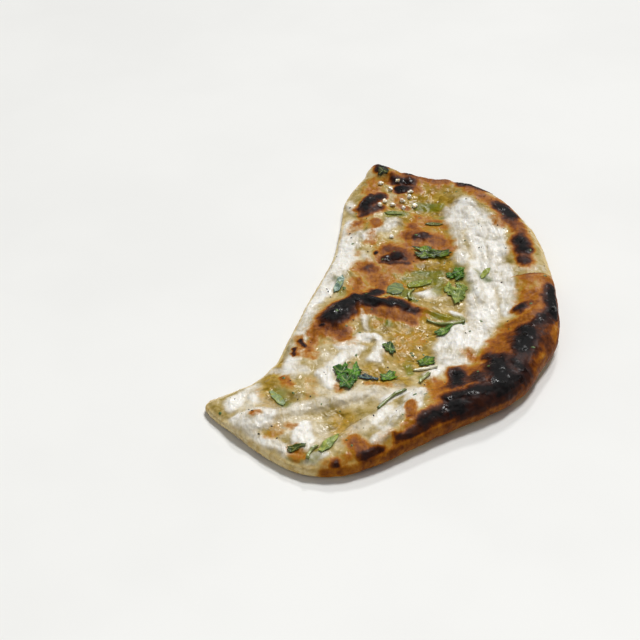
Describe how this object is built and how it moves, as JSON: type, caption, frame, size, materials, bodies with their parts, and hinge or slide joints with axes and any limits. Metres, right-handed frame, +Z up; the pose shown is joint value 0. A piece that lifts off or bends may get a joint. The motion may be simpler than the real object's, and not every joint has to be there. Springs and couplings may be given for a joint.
{
  "type": "naan bread",
  "caption": "Flat leavened bread with a thick charred crust along one side, cheese melted into its top, and chopped coriander and garlic lying on it.",
  "frame": {"origin": "centre of the bounding box, at the bottom, on the flat underside", "axes": "+Z up out of the cheese side, +Y towards the pointed end, +X towards the thick crust"},
  "size_m": [0.158, 0.237, 0.0137],
  "materials": {
    "baked_dough": "satin",
    "coriander": "satin",
    "coriander_stem": "satin",
    "garlic": "satin"
  },
  "bodies": {
    "root": {"naan_bread": "baked_dough", "coriander_leaf_1": "coriander", "coriander_leaf_2": "coriander", "coriander_leaf_3": "coriander", "coriander_leaf_4": "coriander", "coriander_leaf_5": "coriander", "coriander_leaf_6": "coriander", "coriander_leaf_7": "coriander", "coriander_leaf_8": "coriander", "coriander_leaf_9": "coriander", "coriander_leaf_10": "coriander", "coriander_leaf_11": "coriander", "coriander_leaf_12": "coriander", "coriander_leaf_13": "coriander", "coriander_leaf_14": "coriander", "coriander_leaf_15": "coriander", "coriander_leaf_16": "coriander", "coriander_leaf_17": "coriander", "coriander_leaf_18": "coriander", "coriander_leaf_19": "coriander", "coriander_stem_1": "coriander_stem", "coriander_stem_2": "coriander_stem", "coriander_stem_3": "coriander_stem", "coriander_stem_4": "coriander_stem", "coriander_stem_5": "coriander_stem", "coriander_stem_6": "coriander_stem", "garlic_bit_1": "garlic", "garlic_bit_2": "garlic", "garlic_bit_3": "garlic", "garlic_bit_4": "garlic", "garlic_bit_5": "garlic", "garlic_bit_6": "garlic", "garlic_bit_7": "garlic", "garlic_bit_8": "garlic", "garlic_bit_9": "garlic", "garlic_bit_10": "garlic", "garlic_bit_11": "garlic", "garlic_bit_12": "garlic"}
  },
  "joints": []
}
